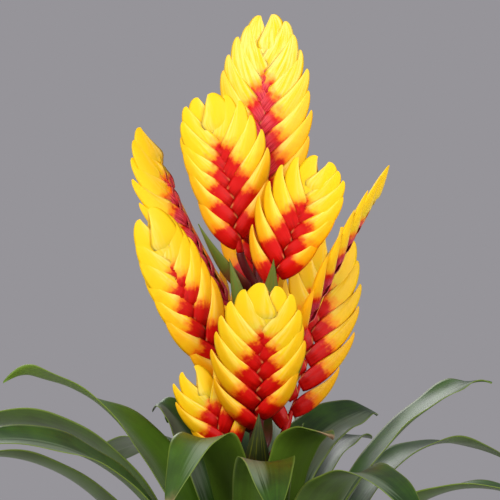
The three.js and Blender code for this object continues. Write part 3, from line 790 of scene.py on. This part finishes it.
# %% The shields' table
SHIELDS = [
    dict(root=(0, -2, 218), middle=(1, -27, 228), tip=(2, -31, 262), width=16, shade=1.0),
    dict(root=(2, -2, 300), middle=(8, -26, 312), tip=(10, -33, 345), width=14, shade=0.25),
    dict(root=(-2, -1, 328), middle=(-14, -8, 330), tip=(-31, -14, 364), width=10, shade=0.2),
    dict(root=(-1, -2, 298), middle=(-8, -13, 318), tip=(-14, -12, 345), width=10, shade=0.1),
    dict(root=(-1, -1, 250), middle=(-16, -4, 256), tip=(-25, -8, 282), width=12, shade=0.7),
    dict(root=(3, -2, 266), middle=(17, -13, 270), tip=(27, -21, 292), width=10, shade=0.4),
    dict(root=(3, 1, 228), middle=(16, 5, 230), tip=(27, 10, 254), width=12, shade=0.4),
    dict(root=(-1, -1, 206), middle=(-13, -5, 208), tip=(-22, -10, 226), width=12, shade=0.8),
    dict(root=(-1, 2, 304), middle=(-3, 22, 306), tip=(-3, 31, 334), width=12, shade=0.4),
    dict(root=(-2, 2, 260), middle=(-16, 16, 262), tip=(-24, 25, 290), width=12, shade=0.4),
    dict(root=(1, 2, 240), middle=(5, 26, 242), tip=(7, 34, 272), width=12, shade=0.4),
]


# %% Stem and stalks
STEM = [(0, 0, 78.3), (0, 0, 200), (1.7, 1.5, 349.3)]
STEM_FOOT, STEM_TOP = 6.2, 2.6
STALK_FOOT, STALK_TOP = 2.4, 2.2
STALK_BELOW, STALK_RISE, STALK_TURN, STALK_GAP = 6, 0.9, 0.5, 0.3


def rod(handles, first, last, rows=40, columns=20):
    """A round tube on a curve, its radius running from first to last."""
    t = np.linspace(0, 1, rows)
    along = heading(handles, t)
    side = unit(np.cross(along, FRONT))
    face = unit(np.cross(side, along))
    turn = np.linspace(0, 2 * np.pi, columns, endpoint=False)[:, None]
    circle = side[:, None] * np.cos(turn) + face[:, None] * np.sin(turn)
    return (curve(handles, t)[:, None] + between(first, last, t)[:, None, None] * circle)[None]


def stalk_handles(spike):
    """A side stalk leaves the stem below its spike's foot and reaches it square on, just short of it."""
    foot = np.array(spike["base"], float)
    along = heading(spike_handles(spike), np.zeros(1))[0]
    foot = foot - STALK_GAP * along
    reach = math.hypot(foot[0], foot[1])
    root = np.array([0, 0, foot[2] - STALK_RISE * reach - STALK_BELOW])
    return [root, foot - STALK_TURN * reach * along, foot]


# %% A shield's surface
SHIELD_HALF_THICKNESS, SHIELD_EDGE_THINNING, SHIELD_CUP = 0.45, 0.5, 0.22
SHIELD_ROWS, SHIELD_COLUMNS, SHIELD_END = 40, 15, 0.998
SHIELD_LEAN = 2.0


def shield_rings(shield):
    """A primary bract as (1, row, column, 3), and its point values along and across: a cupped strip on the
    curve of its three handles, whose half-width follows sin(pi (0.2 + 0.8 t^0.9)). Its face looks away from
    the stem, turned a little to the front or the back."""
    t = np.linspace(0, SHIELD_END, SHIELD_ROWS)
    handles = [shield["root"], shield["middle"], shield["tip"]]
    middle = shield["middle"]
    along = heading(handles, t)
    out = unit(np.array([middle[0], SHIELD_LEAN * middle[1], 0.0]))
    across = unit(np.cross(along, out))
    normal = unit(np.cross(across, along))
    half = shield["width"] / 2 * np.sin(np.pi * (0.2 + 0.8 * t ** 0.9))
    x = np.linspace(-1, 1, SHIELD_COLUMNS)
    x = np.concatenate([x, x[::-1]])
    lift = np.repeat([1.0, -1.0], SHIELD_COLUMNS) * SHIELD_HALF_THICKNESS
    lift = lift * (1 - SHIELD_EDGE_THINNING * x ** 4)
    bulge = lift[None, :] - SHIELD_CUP * x ** 2 * half[:, None]
    flat = curve(handles, t)[:, None] + across[:, None] * (x * half[:, None])[..., None]
    rings = flat + normal[:, None] * bulge[..., None]
    return rings[None], t[:, None], x


# %% The whole stem
def make_stem(finish):
    skin = Skin()
    plain = dict(along=0.0, across=0.0, leafy=0.0, shade=0.0)
    skin.add(rod(STEM, STEM_FOOT, STEM_TOP, rows=90, columns=28), lot=0.3, **plain)
    for spike in list(SPIKES.values())[1:]:
        skin.add(rod(stalk_handles(spike), STALK_FOOT, STALK_TOP), lot=0.6, **plain)
    for shield in SHIELDS:
        rings, along, across = shield_rings(shield)
        lot = chance.uniform(0, 1)
        skin.add(rings, along=along, across=across, lot=lot, leafy=1.0, shade=shield["shade"])
    made = skin.build("flower_stem", finish)
    print(f"flower_stem: {len(SPIKES) - 1} stalks, {len(SHIELDS)} shields, {len(made.data.polygons)} faces")


make_stem(stem_finish())

# %% [markdown]
# The pot is a plain round nursery pot of dark plastic: a tapered wall, a wider band at the rim and a fine
# moulded grain. Screw and Bevel could make it from a drawn line. Here its rings are circles and its profile
# is a list of points with the corners cut off twice, so it shares the tubes' function with all the rest.

# %% Turned shapes
LEAST_RADIUS = 0.02


def rounded(profile, share=0.22, rounds=2):
    """The profile with its corners cut: each round puts two points on every side, share in from its ends."""
    points = np.array(profile, float)
    for _ in range(rounds):
        a, b = points[:-1], points[1:]
        inner = np.stack([between(a, b, share), between(b, a, share)], 1).reshape(-1, 2)
        points = np.concatenate([points[:1], inner, points[-1:]])
    return points


def turned(profile, columns=144):
    """A turned shape from a profile of (radius, height) points."""
    turn = np.linspace(0, 2 * np.pi, columns, endpoint=False)
    radius, height = np.asarray(profile, float).T
    radius = np.maximum(radius, LEAST_RADIUS)[:, None]
    return np.stack([radius * np.cos(turn), radius * np.sin(turn), height[:, None] + 0 * turn], -1)[None]


# %% The pot's finish
PLASTIC_DARK = (0.028, 0.031, 0.029)
PLASTIC_WORN = (0.045, 0.049, 0.046)
DUST = (0.16, 0.14, 0.11)


def pot_finish():
    f = Finish("moulded_plastic")
    grain = f.noise(f.place(), 2600.0, detail=2.0)
    scuff = f.noise(f.place(), 70.0, detail=5.0, roughness=0.7)
    dust = f.step(f.height() + (scuff - 0.5) * 0.02, 0.016, 0.0) * 0.5
    paint = f.mix(PLASTIC_DARK, PLASTIC_WORN, scuff)
    paint = f.mix(paint, DUST, dust)
    f.surface(Base_Color=paint, Roughness=0.38 + scuff * 0.22 + dust * 0.2, Normal=f.relief(grain, 0.00004))
    return f


# %% The pot's shape
POT_RIM, POT_WALL, POT_FOOT, POT_HEIGHT = 60, 56.5, 43, 105
POT_BAND, POT_THICKNESS, POT_FLOOR, POT_EDGE = 13, 2, 2.5, 1
FOOT_RING, POT_RECESS = 6, 1.2
LOW_WALL_HEIGHTS, LOW_WALL_OUT, LOW_WALL_SLOPE = (8, 8.8, 9.6, 10.4), 1.2, 0.139
BAND_FOOT = POT_HEIGHT - POT_BAND


def make_pot(finish):
    ring = POT_FOOT - FOOT_RING
    underside = [(0, POT_RECESS), (ring - POT_EDGE, POT_RECESS), (ring, 0), (POT_FOOT, 0)]
    low_wall = [(POT_FOOT + LOW_WALL_OUT + LOW_WALL_SLOPE * z, z) for z in LOW_WALL_HEIGHTS]
    outside = [
        (POT_FOOT + POT_EDGE, 1.5 * POT_EDGE), *low_wall, (POT_WALL - POT_EDGE, BAND_FOOT),
        (POT_RIM - POT_EDGE / 2, BAND_FOOT + POT_EDGE), (POT_RIM, POT_HEIGHT - POT_EDGE),
        (POT_RIM - POT_EDGE, POT_HEIGHT),
    ]
    inside = [
        (POT_RIM - POT_THICKNESS, POT_HEIGHT), (POT_WALL - POT_THICKNESS, BAND_FOOT + POT_EDGE),
        (POT_FOOT + POT_EDGE - POT_THICKNESS, POT_FLOOR), (0, POT_FLOOR),
    ]
    skin = Skin()
    skin.add(turned(rounded(underside + outside + inside)), lot=0.5)
    made = skin.build("pot", finish)
    print(f"pot: {2 * POT_RIM} mm wide, {POT_HEIGHT} mm high, {len(made.data.polygons)} faces")


make_pot(pot_finish())

# %% [markdown]
# The potting mix is peat with bark and a few pale grains in it. Its top is uneven, and hundreds of small
# chips lie half sunk in it. A particle system could strew them, but the exported mesh has to hold them, so
# each chip is a small tube of four rings with its own size, turn and shade, and all are made at once.

# %% The soil's finish
PEAT_DARK = (0.010, 0.006, 0.004)
PEAT_BROWN = (0.055, 0.032, 0.018)
BARK = (0.13, 0.08, 0.045)
PALE_GRAIN = (0.42, 0.38, 0.32)


def soil_finish():
    f = Finish("potting_mix")
    clod = f.noise(f.place(), 420.0, detail=6.0, roughness=0.7)
    grit = f.noise(f.place(), 1500.0, detail=3.0)
    paint = f.mix(PEAT_DARK, PEAT_BROWN, f.step(clod, 0.3, 0.7))
    paint = f.mix(paint, BARK, f.step(f.value("lot"), 0.55, 0.95) * 0.8)
    paint = f.mix(paint, PALE_GRAIN, f.step(f.value("lot"), 0.965, 0.97))
    relief = f.relief(grit, 0.0005, f.relief(clod, 0.0016))
    f.surface(Base_Color=paint, Roughness=0.92, Normal=relief)
    return f


# %% The soil's top
SOIL_TOP, SOIL_CROWN, SOIL_SLOPE, SOIL_GAP = 94, 1.5, 6, 0.6
CROWN_RADIUS, HOLE_RADIUS, HOLE_FLOOR = 36.5, 27.5, 78
FADE = 4


def soil_edge(z):
    """The soil's outer radius at a height, just inside the pot's wall."""
    low, high = POT_FOOT + POT_EDGE - POT_THICKNESS, POT_WALL - POT_THICKNESS
    return between(low, high, (z - POT_FLOOR) / (BAND_FOOT + POT_EDGE - POT_FLOOR)) - SOIL_GAP


def soil_lift(radius, turn):
    """Unevenness of the top, in mm: a ripple of 0.5 that goes round five times and one of 0.4 that goes round
    eleven times. Both fade at the pot's wall and at the hole."""
    wall = soil_edge(SOIL_TOP)
    fade = smooth(HOLE_RADIUS, HOLE_RADIUS + FADE, radius) * smooth(wall, wall - FADE, radius)
    return fade * (0.5 * np.sin(5 * turn + radius / 3) + 0.4 * np.sin(11 * turn - radius / 2))


# %% The chips
CHIPS, CHIP_CORNERS = 900, 5
CHIP_SIZES, CHIP_STRETCHES, CHIP_JITTER = (0.5, 1.9), (1.0, 2.2), (0.75, 1.25)
CHIP_RINGS = [(0.35, -0.5), (1.0, -0.2), (0.9, 0.25), (0.3, 0.5)]
HOLE_CLEAR, WALL_CLEAR, CHIP_STAND = 1, 1.5, 0.15


def chips():
    """Small crumbs, (chip, ring, corner, 3): each is a lump of four five-sided rings with jittered corners.
    CHIP_RINGS gives each ring's radius and height as shares of the chip's size. The square of the distance
    from the stem is drawn, and not the distance, so that the chips lie equally thick everywhere."""
    nearest, furthest = HOLE_RADIUS + HOLE_CLEAR, soil_edge(SOIL_TOP) - WALL_CLEAR
    turn = chance.uniform(0, 2 * np.pi, CHIPS)
    radius = np.sqrt(chance.uniform(nearest ** 2, furthest ** 2, CHIPS))
    size = chance.uniform(*CHIP_SIZES, CHIPS)[:, None, None]
    ring, height = (np.array(column)[None, :, None] for column in zip(*CHIP_RINGS))
    corners = np.linspace(0, 2 * np.pi, CHIP_CORNERS, endpoint=False)
    around = corners[None, None, :] + turn[:, None, None] * 7
    jitter = chance.uniform(*CHIP_JITTER, (CHIPS, len(CHIP_RINGS), CHIP_CORNERS))
    stretch = chance.uniform(*CHIP_STRETCHES, CHIPS)[:, None, None]
    x = size * stretch * ring * jitter * np.cos(around)
    y = size * ring * jitter * np.sin(around)
    z = size * height * jitter
    spin = chance.uniform(0, np.pi, CHIPS)[:, None, None]
    top = SOIL_TOP + SOIL_CROWN * smooth(soil_edge(SOIL_TOP), CROWN_RADIUS, radius)
    px = (radius * np.cos(turn))[:, None, None] + x * np.cos(spin) - y * np.sin(spin)
    py = (radius * np.sin(turn))[:, None, None] + x * np.sin(spin) + y * np.cos(spin)
    pz = (top + soil_lift(radius, turn))[:, None, None] + z + CHIP_STAND * size
    return np.stack([px, py, pz], -1)


# %% The whole soil
FLOOR_GAP = 0.3
DIP_RADII = (34, 31, 29, HOLE_RADIUS)
SOIL_COLUMNS, CROWN_POINTS = 180, 14


def make_soil(finish):
    low = POT_FLOOR + FLOOR_GAP
    edge = soil_edge(BAND_FOOT)
    brim = edge - SOIL_SLOPE

    def top(radius, start):
        """The point of the top at radius, which rises in a straight line from start to CROWN_RADIUS."""
        return radius, SOIL_TOP + SOIL_CROWN * (radius - start) / (CROWN_RADIUS - start)

    crown = [top(radius, brim) for radius in np.linspace(brim, CROWN_RADIUS, CROWN_POINTS)]
    dip = [top(radius, HOLE_RADIUS) for radius in DIP_RADII]
    profile = [
        (0, low), (soil_edge(low), low), (edge, BAND_FOOT), (edge, SOIL_TOP - 1), *crown, *dip,
        (HOLE_RADIUS, HOLE_FLOOR), (0, HOLE_FLOOR),
    ]
    rings = turned(profile, SOIL_COLUMNS)
    radius = np.hypot(rings[..., 0], rings[..., 1])
    on_top = rings[..., 2] >= SOIL_TOP
    rings[..., 2] += on_top * soil_lift(radius, np.arctan2(rings[..., 1], rings[..., 0]))
    skin = Skin()
    skin.add(rings, lot=0.0)
    skin.add(chips(), lot=chance.uniform(0, 1, CHIPS)[:, None, None])
    made = skin.build("soil", finish)
    print(f"soil: {CHIPS} chips, {len(made.data.polygons)} faces")


make_soil(soil_finish())

# %% [markdown]
# The stage is a plain pale floor under a plain grey surround. Three soft lamps light the plant: a strong one
# high on the left in front, a weaker one on the right, and one behind that picks out the edges. Square lamps
# of about a metre give shadows with soft edges.

# %% Floor, surround and lamps
FLOOR_RADIUS, FLOOR_CORNERS = 2.2, 96
FLOOR_GREY = (0.62, 0.61, 0.60)
SURROUND = (0.305, 0.296, 0.319)
LAMPS_AIM = 0.32


def make_floor():
    """A flat round floor at the height of the pot's foot."""
    turn = np.linspace(0, 2 * np.pi, FLOOR_CORNERS, endpoint=False)
    points = np.stack([FLOOR_RADIUS * np.cos(turn), FLOOR_RADIUS * np.sin(turn), 0 * turn], -1)
    mesh = bpy.data.meshes.new("floor")
    mesh.from_pydata(points.tolist(), [], [list(range(FLOOR_CORNERS))])
    finish = Finish("pale_floor").surface(Base_Color=FLOOR_GREY, Roughness=0.7)
    mesh.materials.append(finish.material)
    floor = bpy.data.objects.new("floor", mesh)
    bpy.context.scene.collection.objects.link(floor)


def make_lamp(name, place, size, power):
    """A square soft lamp at place, in metres, turned to face the middle of the flowers."""
    data = bpy.data.lights.new(name, "AREA")
    data.size = size
    data.energy = power
    lamp = bpy.data.objects.new(name, data)
    lamp.location = place
    aim = lamp.location.copy()
    aim.z -= LAMPS_AIM
    lamp.rotation_euler = aim.to_track_quat("Z", "Y").to_euler()
    bpy.context.scene.collection.objects.link(lamp)


make_floor()
make_lamp("key_lamp", place=(-0.8, -1.4, 1.2), size=0.9, power=25)
make_lamp("fill_lamp", place=(1.2, -1.4, 0.6), size=1.2, power=19)
make_lamp("back_lamp", place=(-0.6, 1.5, 1.3), size=0.8, power=12)
world = bpy.data.worlds.new("surround")
world.use_nodes = True
world.node_tree.nodes["Background"].inputs["Color"].default_value = (*SURROUND, 1.0)
bpy.context.scene.world = world
bpy.context.scene.view_settings.view_transform = "Standard"
print(f"{len(bpy.data.lights)} lamps over a floor {2 * FLOOR_RADIUS} m across")

# %% [markdown]
# The camera stands level with the base of the top spike and looks straight along +Y. It is 1.5 m away, so
# near and far spikes are seen at nearly the same scale, and its lens takes in 275 mm at the stem.

# %% Camera
CAMERA_PLACE = (-2.75, -1500, 349.65)
VIEW_WIDTH, SENSOR_WIDTH = 275, 36
camera_data = bpy.data.cameras.new("camera")
camera_data.sensor_width = SENSOR_WIDTH
camera_data.lens = SENSOR_WIDTH * -CAMERA_PLACE[1] / VIEW_WIDTH
camera = bpy.data.objects.new("camera", camera_data)
camera.location = [x * MM for x in CAMERA_PLACE]
camera.rotation_euler = (math.pi / 2, 0, 0)
bpy.context.scene.collection.objects.link(camera)
bpy.context.scene.camera = camera
print(f"camera: {-CAMERA_PLACE[1]} mm away, lens {camera_data.lens:.1f} mm")
